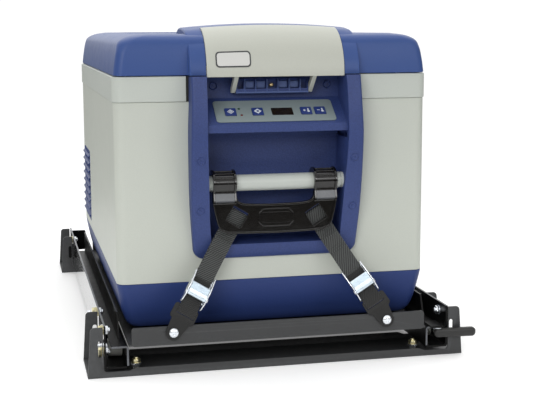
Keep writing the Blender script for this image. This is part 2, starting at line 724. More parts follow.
def outer_rail(side):
    """Fixed rail: foot, web and rear end stop, with its bolts and washers."""
    end = SIDES[side]
    foot, web = MEMBER_LIP + GAP, RAIL_OUTER - SHEET
    back, front = BOX["outer_rail_" + end][1].y, BOX["outer_rail_" + end][0].y
    outline = [(RAIL_INNER_FOOT, foot), (RAIL_OUTER - 0.002, foot)]
    outline += arc((RAIL_OUTER - 0.004, foot + 0.004), 0.004, -85, 0, 5)
    outline += [(RAIL_OUTER, RAIL_TOP), (web, RAIL_TOP)]
    outline += arc((web - 0.002, foot + SHEET + 0.002), 0.002, 0, -90, 4)
    outline += [(RAIL_INNER_FOOT, foot + SHEET)]
    rail = prism(mirror_x(outline, side), "y", front, back, "slide_black")
    stop = rectangle((RAIL_INNER_FOOT, 0.0310), (web + 0.001, 0.0755), 0.003)
    unite(rail, prism(mirror_x(stop, side), "y", back - SHEET, back, "slide_black"))
    holes = [rod(AXLE_RADIUS + GAP, 0.02, (side * 0.27, y, ROLLER_Z), (side, 0, 0))
             for y in ROLLER_PLACES]
    bevel(cut(rail, *holes), 0.0006)
    tint_faces(rail, "slide_gloss", (side, 0, 0), 0.97)
    tint_faces(rail, "cut_edge", (0, 0, 1), 0.6, RAIL_TOP - 0.0008)
    shapes = [rail]
    upper, lower = 0.0680, 0.0330
    for y, z in ((-0.0200, upper), (-0.0200, lower), (0.1020, upper), (0.7830, upper)):
        shapes += hex_bolt((side * RAIL_OUTER, y, z), (side, 0, 0))
        shapes += hex_nut((side * web, y, z), (-side, 0, 0))
    neck, rim, washer, top = 0.0055, 0.0084, 0.0092, 0.0116
    for y in (-0.0270, 0.7800):
        spot = Vector((side * 0.2300, y, SHEET))
        shapes.append(turned([(neck, 0), (neck, washer), (rim, washer), (rim, top)],
                             spot, (0, 0, 1), "zinc"))
        shapes += hex_nut(spot + Vector((0, 0, top)), (0, 0, 1), "gold_zinc", 0.0125)
    finish_piece("outer_rail_pressed_" + end, shapes, "slide_base",
                 ["outer_rail_" + end])


def inner_rail(side):
    """Moving rail: web, flange that runs on the rollers, and a side plate above."""
    end = SIDES[side]
    low, high = BOX["inner_rail_" + end]
    web, plate = INNER_RAIL + SHEET, INNER_RAIL + SHEET + 0.007
    outline = [(INNER_RAIL, 0.0175), (web, 0.0175)]
    outline += arc((web + 0.002, FLANGE_TOP - SHEET - 0.002), 0.002, 180, 90, 4)
    outline += [(0.270, FLANGE_TOP - SHEET), (0.270, FLANGE_TOP), (plate + SHEET, FLANGE_TOP),
                (plate + SHEET, SIDE_PLATE_TOP), (plate, SIDE_PLATE_TOP), (plate, FLANGE_TOP)]
    outline += arc((INNER_RAIL + 0.005, FLANGE_TOP - 0.005), 0.005, 90, 180, 6)
    rail = prism(mirror_x(outline, side), "y", low.y, high.y, "slide_black")
    clearance = [(-0.06, FLANGE_TOP + 0.0005), (-0.012, FLANGE_TOP + 0.0005),
                 (0.010, SIDE_PLATE_TOP + 0.01), (-0.06, SIDE_PLATE_TOP + 0.01)]
    cut(rail, prism(clearance, "x", *span(side, 0.2500, 0.2600)))
    tint_faces(bevel(rail, 0.0006), "cut_edge", (0, -1, 0), 0.6, 0.0, FLANGE_TOP)
    finish_piece("inner_rail_pressed_" + end, [rail], "tray", ["inner_rail_" + end])


def bolt_hole(side):
    """Cutter for the anchor bolt's hole through the tray's lip and the anchor."""
    return rod(0.0036, 0.03, (side * BOLT_X, -0.07, BOLT_Z), (0, 1, 0))


def tray_deck():
    """Deck sheet with folded lips, twelve slots and the anchors' bolt holes."""
    half = INNER_RAIL - 0.0005
    deck = block((-half, LIP_FRONT + 0.004, TRAY_TOP - SHEET), (half, TRAY_BACK, TRAY_TOP),
                 "slide_grey")
    outline = rectangle((-0.239, TRAY_TOP - SHEET), (0.239, LIP_TOP), 0.005)
    unite(deck, prism(outline, "y", LIP_FRONT, LIP_FRONT + 0.0045, "slide_grey"),
          prism(outline, "y", TRAY_BACK - SHEET, TRAY_BACK + 0.0005, "slide_grey"))
    cut(deck, block((-0.25, LIP_FRONT + SHEET, TRAY_TOP), (0.25, LIP_FRONT + 0.01, LIP_TOP + 0.01)))
    slots = [frame_prism(rectangle((-0.030, -0.004), (0.030, 0.004), 0.0039),
                         Matrix.Translation((x, y, 0)), 0.03, 0.06)
             for x in (-0.14, 0, 0.14) for y in (0.12, 0.30, 0.48, 0.68)]
    holes = [bolt_hole(side) for side in SIDES]
    bevel(cut(deck, *slots, *holes), 0.0007)
    finish_piece("tray_deck_folded", [deck], "tray", ["tray_deck"])


def lock_lever():
    """Rounded handle with a grip end, turning on an upright pin."""
    low, high = BOX["lock_lever"]
    pivot, tip = Vector((0.2620, -0.0585)), Vector((0.3205, -0.0625))
    bottom, top = low.z - 0.0022, high.z + 0.0018
    thick, round_end, rows = 0.0066, 0.0068, 28
    axis = (tip - pivot).normalized()
    start, stop = pivot - axis * round_end, tip + axis * 0.0058
    length, middle = (stop - start).length, (bottom + top) / 2
    rings = []
    for i in range(rows + 1):
        along = length * (1 - cos(pi * i / rows)) / 2
        cap = min(along, length - along) / round_end
        scale = max(sqrt(1 - (1 - min(cap, 1.0)) ** 2), 0.08)
        spot = start + axis * along
        half, rise = thick * scale, (top - bottom) / 2 * scale
        section = rectangle((-half, -rise), (half, rise), 0.0050 * scale, 5)
        rings.append([(spot.x - axis.y * a, spot.y + axis.x * a, middle + b) for a, b in section])
    lever = loft(rings, "black_plastic")
    cut(lever, rod(0.0033, 0.03, (*pivot, 0.025), (0, 0, 1)))
    finish_piece("lock_lever_handle", [lever], "lock_lever", ["lock_lever"])
    washer = turned([(0.0062, 0), (0.0066, 0.0004), (0.0066, 0.0012),
                                     (0.0058, 0.0018), (0.0036, 0.0018), (0.0034, 0.0034)],
                    (*pivot, top + GAP), (0, 0, 1), "zinc")
    finish_piece("lever_washer", washer, "tray")


# ---------------------------------------------------------------- tie-down

def strap_frame(side):
    """Columns: up along the strap, outward, across. Origin at the anchor bolt's axis."""
    length = sqrt((BOLT_X - WINDOW_X) ** 2 + (WINDOW_Z - BOLT_Z) ** 2)
    along = Vector((-side * (BOLT_X - WINDOW_X), 0, WINDOW_Z - BOLT_Z)) / length
    outward = Vector((0, -1, 0))
    place = Matrix((along, outward, along.cross(outward))).transposed().to_4x4()
    place.translation = (side * BOLT_X, 0, BOLT_Z)
    return place


def webbing_frame(side):
    """The strap's frame with its origin in the middle of the webbing."""
    return strap_frame(side) @ Matrix.Translation((0, 0, -side * STRAP_SHIFT))


STRAP_RUN = Vector((STRAP_KNEE[0] - BEND_T, STRAP_KNEE[1] - BOLT_Q)).normalized()
RUN_LENGTH = (Vector(STRAP_KNEE) - Vector((BEND_T, BOLT_Q))).length


def strap_point(distance):
    """A point on the straight run, counted from the anchor's bend."""
    return Vector((BEND_T, BOLT_Q)) + STRAP_RUN * distance


def tilted_frame(side, distance):
    """Columns: along the strap, outward from it, across. Origin on the strap."""
    run, point = STRAP_RUN, strap_point(distance)
    local = Matrix(((run.x, -run.y, 0, point[0]), (run.y, run.x, 0, point[1]),
                    (0, 0, 1, 0), (0, 0, 0, 1)))
    return webbing_frame(side) @ local


def band_outline(points, half, steps=8):
    """Offset an open path to both sides, with round ends."""
    path = [Vector(p) for p in points]
    runs = [(b - a).normalized() for a, b in zip(path, path[1:])]
    lead = degrees(atan2(runs[0].y, runs[0].x))
    trail = degrees(atan2(runs[-1].y, runs[-1].x))

    def side_points(sign):
        made = []
        for point, one, two in zip(path[1:-1], runs, runs[1:]):
            middle = (one + two).normalized()
            made.append(tuple(point + Vector((-middle.y, middle.x)) * sign * half))
        return made
    outline = arc(path[0], half, lead + 90, lead + 270, steps) + side_points(-1)
    return outline + arc(path[-1], half, trail - 90, trail + 90, steps) + side_points(1)[::-1]


def weave_along(item, place):
    """Lay the weave's coordinates in metres: across the webbing and along it."""
    layer = item.data.uv_layers.new(name="weave")
    back = place.inverted()
    for loop in item.data.loops:
        local = back @ item.data.vertices[loop.vertex_index].co
        layer.data[loop.index].uv = (local.z, local.x)
    return item


def webbing_loop(name, side, path, look="webbing", replaces=()):
    """A loop of webbing, two layers with a turn at each end."""
    place = webbing_frame(side)
    middle = STRAP_LIFT
    outer = band_outline(path, middle + STRAP_THICK / 2)
    inner = band_outline(path, middle - STRAP_THICK / 2)
    rings = []
    for outline, across in ((outer, -STRAP_HALF), (outer, STRAP_HALF),
                            (inner, STRAP_HALF), (inner, -STRAP_HALF)):
        rings.append([place @ Vector((a, b, across)) for a, b in outline])
    item = bevel(loft(rings, look, closed=True), 0.0005, 2, 60)
    weave_along(item, place)
    length = 2 * sum((Vector(b) - Vector(a)).length for a, b in zip(path, path[1:]))
    length += 2 * pi * middle
    finish_piece(name, item, "tray", replaces)
    return item, (2 * STRAP_HALF, round(length, 3))


def webbing(side):
    """The twill strap from the yoke to the buckle, and the strap from the cam to the anchor."""
    end = SIDES[side]
    buckle_bar = strap_point(BUCKLE_PLACE + 0.0205)
    upper, upper_size = webbing_loop("strap_upper_" + end, side,
                                     (buckle_bar, STRAP_KNEE, STRAP_END), "webbing", ["strap_" + end])
    lower, lower_size = webbing_loop("strap_lower_" + end, side,
                                     (strap_point(SLOT_TOP), strap_point(BUCKLE_PLACE + 0.0152)),
                                     "webbing_plain")
    sewn_tail(side)


def sewn_tail(side):
    """The strap's turned-back end, sewn flat on the front layer below the yoke."""
    end = SIDES[side]
    start, stop = BUCKLE_PLACE + 0.0625, RUN_LENGTH - 0.004
    place = tilted_frame(side, 0)
    lift = STRAP_LIFT + STRAP_THICK / 2 + 0.0001
    half = STRAP_HALF - GAP
    outline = [(start, lift), (stop, lift), (stop, lift + STRAP_THICK),
               (start + 0.0010, lift + STRAP_THICK), (start, lift + STRAP_THICK * 0.6)]
    tail = frame_prism(outline, place, -half, half, "webbing")
    weave_along(bevel(tail, 0.0004, 2, 50), strap_frame(side))
    finish_piece("strap_tail_" + end, tail, "tray")
    stitches = []
    top = lift + STRAP_THICK
    for row in (start + 0.0035, start + 0.0075, start + 0.0290, start + 0.0330):
        for step in range(-5, 6):
            across = step * 0.0021
            low = (row - 0.0003, top - 0.0003, across - 0.0007)
            high = (row + 0.0003, top + 0.0004, across + 0.0007)
            stitch = block(low, high, "stitch_thread", 0.0002)
            stitch.data.transform(place)
            stitches.append(stitch)
    finish_piece("strap_stitches_" + end, stitches, "tray")


def anchor(side):
    """Matte black plate bent back above the tray's lip, slotted for the webbing."""
    end = SIDES[side]
    ear = rounded([(0.0200, -0.0175), (0.0235, -0.0210), (ANCHOR_TOP, -0.0205),
                   (ANCHOR_TOP, 0.0205), (0.0235, 0.0210), (0.0200, 0.0175)], 0.0045, 5)
    outline = arc((0, 0), 0.0125, 112, 248, 14) + ear
    bm = bmesh.new()
    faces = [[bm.verts.new((a, outward, b)) for a, b in outline]
             for outward in (BOLT_Q - 0.0015, BOLT_Q + 0.0015)]
    bm.faces.new(faces[0])
    bm.faces.new(faces[1])
    for i in range(len(outline)):
        j = (i + 1) % len(outline)
        bm.faces.new((faces[0][i], faces[0][j], faces[1][j], faces[1][i]))
    spread, steps = 0.004, 6
    for step in range(steps + 1):
        bmesh.ops.bisect_plane(bm, geom=bm.verts[:] + bm.edges[:] + bm.faces[:],
                               plane_co=(BEND_T + spread * (step / steps - 0.5), 0, 0),
                               plane_no=(1, 0, 0))
    full = atan2(STRAP_RUN.y, STRAP_RUN.x)
    radius = spread / abs(full)
    for vert in bm.verts:
        reach, lift = vert.co.x - (BEND_T - spread / 2), vert.co.y - BOLT_Q
        if reach > 1e-6:
            angle = full * min(reach / spread, 1.0)
            spare = max(reach - spread, 0.0)
            vert.co.x = BEND_T - spread / 2 + radius * sin(-angle) + spare * cos(angle)
            vert.co.y = BOLT_Q - radius * (1 - cos(angle)) + spare * sin(angle)
            vert.co.x -= sin(angle) * lift
            vert.co.y += cos(angle) * lift
    bmesh.ops.transform(bm, matrix=strap_frame(side), verts=bm.verts)
    plate = add_object(bm, "anchor_black")
    slot_half = STRAP_HALF + 0.0006
    slot = rectangle((SLOT_TOP - SLOT_HEIGHT, -slot_half), (SLOT_TOP, slot_half), 0.0015)
    tilt = tilted_frame(side, 0) @ Matrix.Rotation(radians(90), 4, "X")
    opening = frame_prism(slot, tilt, -0.01, 0.01)
    bevel(cut(plate, opening, bolt_hole(side)), 0.0006)
    finish_piece("anchor_plate_" + end, [plate], "tray", ["anchor_" + end])
    point = Vector((side * BOLT_X, BOX["anchor_" + end][0].y, BOLT_Z))
    washer = turned([(0.0088, 0), (0.0090, 0.0003), (0.0090, 0.0007), (0.0086, 0.0010)],
                    point + Vector((0, 0.0001, 0)), (0, -1, 0), "anchor_black")
    head = button_head(point + Vector((0, -0.0008, 0)), (0, -1, 0), "zinc", 0.0078, 0.0044)
    shank = rod(0.0031, 0.0130, point, (0, 1, 0), "zinc")
    nut = hex_nut(point + Vector((0, 0.0060, 0)), (0, 1, 0), "zinc", 0.010)
    finish_piece("anchor_screw_" + end, [washer, head, shank] + nut, "tray",
                 ["anchor_bolt_" + end])


def buckle(side):
    """Cam buckle: two long pointed cheeks, a floor, a loop bar and the cam lever."""
    end = SIDES[side]
    place = tilted_frame(side, BUCKLE_PLACE)
    top, length = 0.0125, 0.0285
    cheek = [(-length, -0.0008), (length, -0.0008), (length + GAP, 0.0040), (0.0170, 0.0085),
             (0.0020, top), (-0.0150, top - 0.0006), (-0.0255, 0.0065), (-length - 0.0002, 0.0020)]
    cheek = rounded(cheek, 0.0035, 4)
    half = STRAP_HALF + 0.0033
    shapes = []
    thick = 0.0020
    for low in (-half, half - thick):
        plate = frame_prism(cheek, place, low, low + thick, "zinc")
        shapes.append(bevel(plate, 0.0006))
    floor = [(-0.0190, -0.0014), (0.0230, -0.0014), (0.0230, 0.0), (-0.0190, 0.0)]
    floor = frame_prism(floor, place, 0.0017 - half, half - 0.0017, "zinc")
    shapes.append(bevel(floor, 0.0004))
    across = place.to_3x3() @ Vector((0, 0, 1))
    loop_bar = place @ Vector((0.0205, 0.0, 0.0002 - half))
    shapes.append(rod(0.0016, 2 * half - 0.0004, loop_bar, across, "zinc"))
    finish_piece("buckle_frame_" + end, shapes, "tray", ["buckle_" + end])

    hinge = Vector((-0.0100, 0.0082, 0))
    centre = place @ hinge
    top, groove, pitch = 0.0036, 0.0030, 0.0019
    cam = arc((0, 0), 0.0043, 92, 300, 12)
    cam += [(0.0165, -0.0016), (0.0185, 0.0006), (0.0185, 0.0024), (0.0168, top)]
    ridge = 0.0160
    while ridge > 0.0070:
        cam += [(ridge, top), (ridge - 0.0005, groove), (ridge - 0.0010, groove), (ridge - 0.0015, top)]
        ridge -= pitch
    cam = [(hinge.x + a, hinge.y + b) for a, b in cam + [(0.0050, 0.0043)]]
    lever = frame_prism(cam, place, 0.0026 - half, half - 0.0026, "cam_zinc")
    bevel(lever, 0.0003, 2, 40)
    long = 2 * half
    pin = turned([(0.0020, 0), (0.0034, 0.0003), (0.0034, 0.0010), (0.0020, 0.0014),
                         (0.0020, long + 0.0016), (0.0034, long + 0.0020),
                         (0.0034, long + 0.0027), (0.0022, long + 0.0030)],
                 centre - across * (half + 0.0015), across, "zinc")
    finish_piece("buckle_cam_" + end, [lever, pin], "buckle_lever_" + end,
                 ["buckle_lever_" + end])


YOKE_OUTLINE = [(0.0, 0.2122), (0.050, 0.2130), (0.078, 0.2144), (0.0890, 0.2190), (0.0938, 0.2300),
                (0.0985, 0.2500), (0.1006, 0.2640), (0.1006, 0.2795), (0.0634, 0.2795),
                (0.0628, 0.2712), (0.0600, 0.2655), (0.0540, 0.2622), (0.0450, 0.2609), (0.030, 0.2600)]
YOKE_TOP_MIDDLE, YOKE_RIM, YOKE_PROUD, YOKE_SHIFT = 0.2594, 0.0034, 0.0016, -0.0036
HOOK_LOW, HOOK_HIGH, HOOK_RIM, HOOK_FOOT = 0.0634, 0.1006, 0.0036, 0.2606


def hook_profile(radius, proud):
    """Side view of a hook: round the bar, then a pad that leans out to the plate."""
    front = YOKE_FRONT - proud
    outline = arc((BAR_Y, BAR_Z), radius, -35, 184, 26)
    outline += [(front - 0.0004, 0.2790), (front - 0.0034, 0.2672), (front - 0.0032, 0.2656),
                (front, HOOK_FOOT + 0.0015), (front, HOOK_FOOT), (YOKE_BACK, HOOK_FOOT),
                (YOKE_BACK, 0.2640), (-0.0238, 0.2735)]
    return outline + arc((BAR_Y, BAR_Z), BAR_RADIUS + 0.0005, 219, -35, 26)


def raised_frame(outline, width, base, front):
    """A proud glossy rim that follows an outline in the x-z plane."""
    inner = inset(outline, width)
    rings = [[(x, y, z) for x, z in line] for line, y in
             ((outline, base), (outline, front), (inner, front), (inner, base))]
    return loft(rings, "gloss_black", closed=True)


def strap_window(side):
    """The slanted opening in the yoke, with the pin and ears that hold the webbing."""
    place = strap_frame(side)
    low, high, half = STRAP_END[0] - 0.0188, STRAP_END[0] + 0.0070, 0.0138
    middle = -side * STRAP_SHIFT - 0.0014
    window = rounded([(low, middle - half), (high, middle - half), (high, middle + half),
                      (low, middle + half)], 0.0012, 3)
    across_place = place @ Matrix.Rotation(radians(90), 4, "X")
    opening = frame_prism(window, across_place, -0.05, -0.01)
    held_place = webbing_frame(side)
    reach = STRAP_HALF + 0.0020
    start = held_place @ Vector((*STRAP_END, -reach))
    direction = place.to_3x3() @ Vector((0, 0, 1))
    held = [rod(0.0015, 2 * reach, start, direction, "gloss_black")]
    along, out, thick = 0.003, STRAP_END[1] - 0.003, -YOKE_BACK + 0.001
    ear = [(STRAP_END[0] - along, out), (STRAP_END[0] + along, out),
           (STRAP_END[0] + along, thick), (STRAP_END[0] - along, thick)]
    for across in (-reach - 0.0010, reach - 0.0015):
        shape = frame_prism(ear, held_place, across, across + 0.0025, "gloss_black")
        held.append(bevel(shape, 0.0004))
    bar = [(low - 0.0020, 0.0), (low, 0.0), (low, 0.0016), (low - 0.0020, 0.0016)]
    sill = frame_prism([(a, -YOKE_FRONT - 0.0010 + b) for a, b in bar], place,
                       middle - half, middle + half, "gloss_black")
    return opening, held + [bevel(sill, 0.0005)]


def yoke():
    """Glossy moulded yoke: rimmed plate, two ribbed hooks over the bar, strap windows."""
    half = YOKE_OUTLINE
    outline = half + [(0.0, YOKE_TOP_MIDDLE)] + mirrored(half[1:])
    outline = [(x + YOKE_SHIFT, z) for x, z in rounded(outline, 0.007, 4)]
    plate = prism(outline, "y", YOKE_FRONT + 0.0008, YOKE_BACK, "gloss_black")
    shapes = []
    cutters = []
    for side in SIDES:
        opening, held = strap_window(side)
        cutters.append(opening)
        shapes += held
    shapes.append(bevel(cut(plate, *cutters), 0.0005))
    rim = raised_frame(outline, YOKE_RIM, YOKE_FRONT + 0.002, YOKE_FRONT - YOKE_PROUD)
    shapes.append(bevel(rim, 0.0009))
    for side in SIDES:
        for low in (HOOK_LOW, HOOK_HIGH - HOOK_RIM):
            ends = [x + YOKE_SHIFT for x in span(side, low, low + HOOK_RIM)]
            rim = prism(hook_profile(0.0220, YOKE_PROUD), "x", *ends, "gloss_black")
            shapes.append(bevel(rim, 0.0010))
        ends = [x + YOKE_SHIFT for x in span(side, HOOK_LOW + 0.002, HOOK_HIGH - 0.002)]
        middle = prism(hook_profile(0.0184, -0.0004), "x", *ends, "gloss_black")
        shapes.append(bevel(middle, 0.0006))
        pad = [(YOKE_FRONT, 0.2784), (YOKE_FRONT - 0.0016, 0.2784), (YOKE_FRONT - 0.0050, 0.2668),
               (YOKE_FRONT - 0.0046, 0.2650), (YOKE_FRONT, 0.2630)]
        pad_ends = (ends[0] + 0.0012, ends[1] - 0.0012)
        shapes.append(bevel(prism(pad, "x", *pad_ends, "pad_grey"), 0.0005))
        for angle in (38, 66, 94, 122, 148, 170):
            a = radians(angle)
            spot = Vector((0, BAR_Y + 0.0190 * cos(a), BAR_Z + 0.0190 * sin(a)))
            rib = block((ends[0], -0.0018, -0.0011), (ends[1], 0.0012, 0.0011), "gloss_black", 0.0008)
            rib.data.transform(Matrix.Translation(spot) @ Matrix.Rotation(a + pi / 2, 4, "X"))
            shapes.append(rib)
    chamfer = 0.0075
    low, high = (-0.0315, 0.2226), (0.0265, 0.2526)
    (x0, z0), (x1, z1) = low, high
    badge = rounded([(x1 - chamfer, z1), (x0 + chamfer, z1), (x0, z1 - chamfer), (x0, z0 + chamfer),
                     (x0 + chamfer, z0), (x1 - chamfer, z0), (x1, z0 + chamfer),
                     (x1, z1 - chamfer)], 0.0040, 3)
    base = YOKE_FRONT + 0.002
    rim = raised_frame(badge, 0.0022, base, YOKE_FRONT - 0.0010)
    shapes.append(bevel(rim, 0.0007))
    field = rectangle((x0 + 0.0055, z0 + 0.0062), (x1 - 0.0055, z1 - 0.0062), 0.003)
    field = prism(field, "y", base, YOKE_FRONT - 0.0004, "gloss_black")
    shapes.append(bevel(field, 0.0005))
    finish_piece("yoke_moulded", shapes, "tray", ["yoke"])


# ---------------------------------------------------------------- fridge body

def tub_inset(height):
    depth = min(max((SHELL_BOTTOM - height) / (SHELL_BOTTOM - TUB_BOTTOM), 0), 1)
    return TUB_TAPER * depth ** 1.15 + TUB_ROUNDING * depth ** 9


def tub_ring(height, wall):
    drawn = tub_inset(height) + wall
    return body_ring(BODY_HALF - drawn, BODY_FRONT + drawn, BODY_BACK - drawn,
                     BODY_RADIUS - wall, height)


def base_tub():
    """Smooth moulded tub that draws in and rounds under at its bottom."""
    count = 26
    rise = TUB_TOP - 0.0008 - TUB_BOTTOM
    heights = [TUB_BOTTOM + rise * (i / count) ** 1.7 for i in range(count + 1)]
    rings = [tub_ring(h, 0) for h in heights] + [tub_ring(TUB_TOP, 0.0008)]
    rings += [tub_ring(h, WALL) for h in (TUB_TOP, 0.10, 0.08, 0.07, TUB_BOTTOM + WALL)]
    finish_piece("base_tub_moulded", loft(rings, "tub_blue"), "tray", ["base_tub"])
    for node in ("rubber_foot_front", "rubber_foot_rear"):
        low, high = BOX[node]
        foot = block(low, high, "black_rubber", 0.002)
        finish_piece(node + "_strip", foot, "tray", [node])


def outer_shell():
    """Side walls with softly rounded corners and eased rims."""
    def ring(wall, height):
        return body_ring(BODY_HALF - wall, BODY_FRONT + wall, BODY_BACK - wall,
                         BODY_RADIUS - wall, height, 12)
    rings = eased_wall(BODY_HALF, BODY_FRONT, BODY_BACK, BODY_RADIUS, SHELL_BOTTOM, SHELL_TOP, 0.0012)
    rings = [ring(WALL, SHELL_BOTTOM)] + rings + [ring(WALL, SHELL_TOP)]
    shell = loft(rings, "shell_grey", closed=True)
    half = BLOCK_HALF + GAP
    low, high = BOX["vent_panel_right"]
    vents = rectangle((low.y - GAP, low.z - GAP), (high.y + GAP, VENT_TOP), 0.010)
    cut(shell, block((-half, -0.03, 0.1860), (half, 0.03, 0.50)),
        block((-half, 0.66, 0.1860), (half, 0.75, 0.3900)), prism(vents, "x", -0.30, 0.30))
    finish_piece("outer_shell_moulded", shell, "tray", ["outer_shell"])


def vent_panel(side):
    """Louvred panel with rounded proud fins, and a flange behind the shell above its opening."""
    node = "vent_panel_" + SIDES[side]
    low, high = BOX[node]
    face, reach, inner = BODY_HALF + GAP, 0.0032, BODY_HALF - WALL
    sheet = prism(rectangle((low.y, low.z), (high.y, VENT_TOP - GAP), 0.0100), "x",
                  *span(side, face, inner), "tub_blue")
    flange = prism(rectangle((low.y, low.z), (high.y, high.z), 0.003), "x",
                   *span(side, inner - 0.0002, inner - 0.0017), "tub_blue")
    shapes = []
    rows, pitch = 9, 0.0150
    slots = []
    for row in range(rows):
        z = low.z + 0.0046 + row * pitch
        slot = rectangle((low.y + 0.008, z), (high.y - 0.012, z + 0.0062), 0.002)
        slots.append(prism(slot, "x", *span(side, 0.24, 0.27)))
        fin = rounded([(face - 0.001, z + 0.0070), (face + reach, z + 0.0032),
                       (face + reach, z + 0.0058), (face - 0.001, z + 0.0104)], 0.0008, 3)
        drawn = 0.006 if row == rows - 1 else 0.001
        louvre = prism(mirror_x(fin, side), "y", low.y + 0.004, high.y - drawn, "tub_blue")
        shapes.append(bevel(louvre, 0.0008))
    shapes.append(bevel(cut(sheet, *slots), 0.0006))
    shapes.append(flange)
    finish_piece(node + "_louvred", shapes, "tray", [node])


def collar():
    """Top frame with eased edges, seal land and hinge lugs."""
    proud, land, rim = 0.0015, 0.036, 0.009
    half, front, back = BODY_HALF + proud, BODY_FRONT - proud, BODY_BACK + proud
    rings = eased_wall(half, front, back, BODY_RADIUS + 0.001, COLLAR_BOTTOM, COLLAR_TOP, 0.0014)
    for drawn, height, radius in ((rim, COLLAR_TOP, 0.012), (rim, SEAL_LAND, 0.012),
                                  (land, SEAL_LAND, 0.012), (land, SEAL_LAND - WALL, 0.012),
                                  (WALL, SEAL_LAND - WALL, 0.014), (WALL, COLLAR_BOTTOM, 0.014)):
        rings.append(body_ring(half - drawn, front + drawn, back - drawn, radius, height, 12))
    item = loft(rings, "collar_grey", closed=True)
    gap, block_half = COLLAR_NOTCH, BLOCK_HALF + GAP
    cut(item, block((-gap, -0.02, 0.40), (gap, -0.0030, 0.48)),
        block((-block_half, -0.02, 0.40), (block_half, BLOCK_BACK + GAP, 0.48)))
    lugs = []
    for side in SIDES:
        lug = [(BODY_BACK, 0.4565)] + arc((HINGE_Y, HINGE_Z), HINGE_LUG, -90, 180, 18)
        lug += [(HINGE_Y - HINGE_LUG, COLLAR_TOP), (BODY_BACK, COLLAR_TOP)]
        lugs.append(prism(lug, "x", *span(side, 0.155, 0.179)))
    unite(item, *lugs)
    cut(item, hinge_bore())
    finish_piece("collar_moulded", item, "tray", ["collar"])


def hinge_bore():
    """Cutter for the bore that holds the hinge rod."""
    return rod(HINGE_ROD + 0.0004, 0.50, (-0.25, HINGE_Y, HINGE_Z), (1, 0, 0), sides=24)


FASCIA_HALVES = [(0.171, 0.1330), (0.200, 0.1349), (0.260, 0.1382), (0.370, 0.1388),
                 (0.420, 0.1370), (0.4615, 0.1365)]
OPENING_HALVES = [(0.190, 0.1045), (0.210, 0.1074), (0.260, 0.1107), (0.370, 0.1136), (0.480, 0.1120)]


def fascia_front(height):
    """The fascia's bow: proudest at 0.37 m, falling back towards its bottom."""
    peak, reach = 0.370, -0.0435
    if height > peak:
        return reach + 0.0120 * ((height - peak) / (FASCIA_TOP - peak)) ** 2
    return reach + 0.0315 * ((peak - height) / (peak - FASCIA_BOTTOM)) ** 1.3


def fascia():
    """Proud frame with rounded edges and a deep pocket, split by the control shelf."""
    corner, edge, steps = 0.017, 0.0050, 5
    heights = [FASCIA_BOTTOM + corner * (i / 8) ** 1.6 for i in range(9)]
    heights += [0.188 + (FASCIA_TOP - 0.188) * i / 22 for i in range(1, 23)]
    rings = []
    for z in heights:
        depth = max(0.0, 1 - (z - FASCIA_BOTTOM) / corner)
        half = curve_through(FASCIA_HALVES, z) - corner * (1 - sqrt(max(1 - depth * depth, 0)))
        front = fascia_front(z) + 0.004 * depth ** 3
        right = [(half - edge + edge * sin(a), front + edge - edge * cos(a))
                 for a in (radians(90 * i / steps) for i in range(steps + 1))]
        right.append((half, FASCIA_BACK))
        outline = mirrored(right) + right
        rings.append([(x, y, z) for x, y in outline])
    item = loft(rings, "fascia_blue")
    unite(item, block((-BLOCK_HALF, FASCIA_BACK - 0.002, 0.1865), (BLOCK_HALF, BLOCK_BACK, FASCIA_TOP)))
    rise = (UPPER_POCKET_BACK - SHELF_FRONT) * tan(SLOPE)
    outline = [(-0.06, 0.480), (UPPER_POCKET_BACK, 0.480), (UPPER_POCKET_BACK, SLOPE_START + rise),
               (SHELF_FRONT, SLOPE_START), (SHELF_FRONT, SHELF_UNDER),
               (LOWER_POCKET_BACK, SHELF_UNDER - 0.004), (LOWER_POCKET_BACK, 0.260),
               (LOWER_POCKET_BACK, 0.203), (LOWER_POCKET_BACK - 0.004, 0.199), (-0.010, 0.1945),
               (-0.06, 0.1910), (-0.06, 0.260), (-0.06, 0.370)]
    rings = [[(side * curve_through(OPENING_HALVES, z), y, z) for y, z in outline] for side in SIDES]
    cut(item, loft(rings))
    unite(item, block((-0.1135, SHELF_FRONT + 0.0030, 0.3620),
                      (0.1135, LOWER_POCKET_BACK + 0.002, SHELF_UNDER + 0.001)))
    bevel(item, 0.0012, 2, 40)
    finish_piece("fascia_moulded", item, "tray", ["fascia"])


def fascia_details():
    """Faint rings over the fascia's screws, and the dark gasket between it and the collar."""
    profile = [(0.0066, -0.0010), (0.0066, 0.0004), (0.0059, 0.0012), (0.0051, 0.0004),
               (0.0046, 0.0001), (0.0018, 0.0001), (0.0014, 0.0008), (0.0004, 0.0010)]
    front_x, front_heights, pocket_x, pocket_z = 0.1240, (0.3310, 0.2510), 0.0936, 0.4445
    shapes = []
    step = 0.001
    for side in SIDES:
        for z in front_heights:
            lean = (fascia_front(z + step) - fascia_front(z - step)) / (2 * step)
            shapes.append(turned(profile, (side * front_x, fascia_front(z), z),
                                 (0, -1, lean), "fascia_blue"))
        shapes.append(turned([(r, d * 1.6) for r, d in profile],
                             (side * pocket_x, UPPER_POCKET_BACK, pocket_z), (0, -1, 0), "fascia_blue"))
    gaskets = []
    for side in SIDES:
        left, right = span(side, 0.1360, COLLAR_NOTCH - 0.0001)
        gaskets.append(block((left, -0.0046, COLLAR_BOTTOM), (right, -0.0032, COLLAR_TOP),
                             "black_rubber"))
    finish_piece("fascia_gasket", gaskets, "tray")
    finish_piece("fascia_screw_bosses", shapes, "tray")


